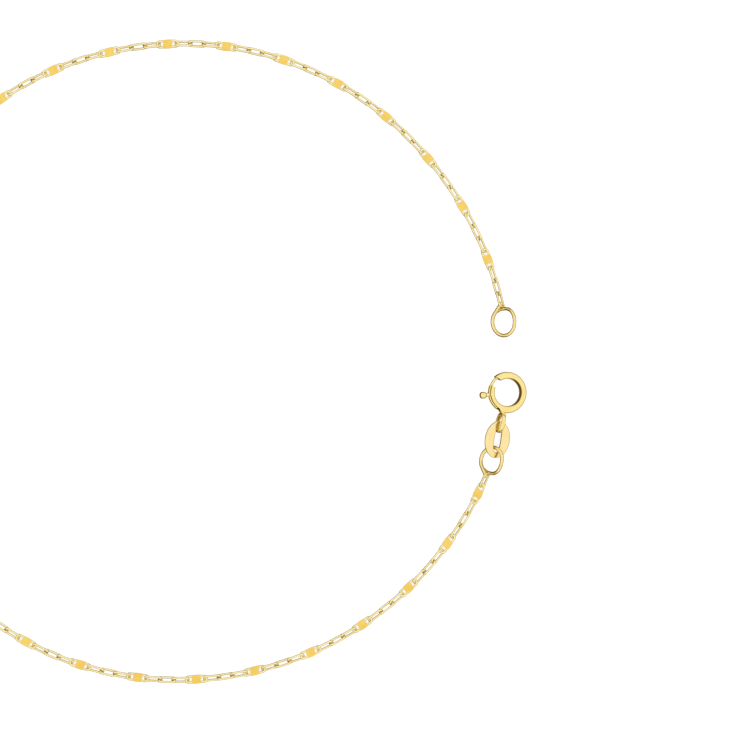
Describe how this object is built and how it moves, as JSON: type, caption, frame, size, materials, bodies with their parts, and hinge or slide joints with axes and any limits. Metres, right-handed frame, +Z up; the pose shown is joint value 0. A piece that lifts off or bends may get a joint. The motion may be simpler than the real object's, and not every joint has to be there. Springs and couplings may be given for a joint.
{
  "type": "chain anklet",
  "caption": "Fine gold cable-chain anklet with small hammered mirror plates, lying open as a flat loop, with a spring-ring clasp on an oval tag link and an end ring.",
  "frame": {"origin": "middle of the anklet's footprint, on the surface that it lies on", "axes": "+Z up from the surface, +X from the middle of the loop towards the clasp, +Y from the clasp towards the end ring"},
  "size_m": [0.0858, 0.083, 0.0027],
  "materials": {
    "chain_gold": "polished yellow gold wire",
    "plate_gold": "hammered, diamond-cut mirror facets in warm yellow gold",
    "clasp_gold": "polished yellow gold with faint tumbling marks",
    "tag_gold": "stamped and satin-polished pale yellow gold",
    "ring_gold": "polished yellow gold wire"
  },
  "bodies": {
    "anklet": {"chain": "chain_gold", "clasp_ring": "clasp_gold", "tag_link": "tag_gold", "jump_ring": "ring_gold", "end_ring": "ring_gold"},
    "bolt": {"clasp_bolt": "clasp_gold"}
  },
  "joints": [
    {"name": "bolt_turn", "type": "hinge", "parent": "anklet", "child": "bolt", "pos_m": [0.04036, -0.00396, 0.0012], "axis": [0.3256, 0, 0.9455], "range_deg": [0, 38], "stiffness_Nm_per_rad": 0.004, "springref_deg": -3.04}
  ]
}
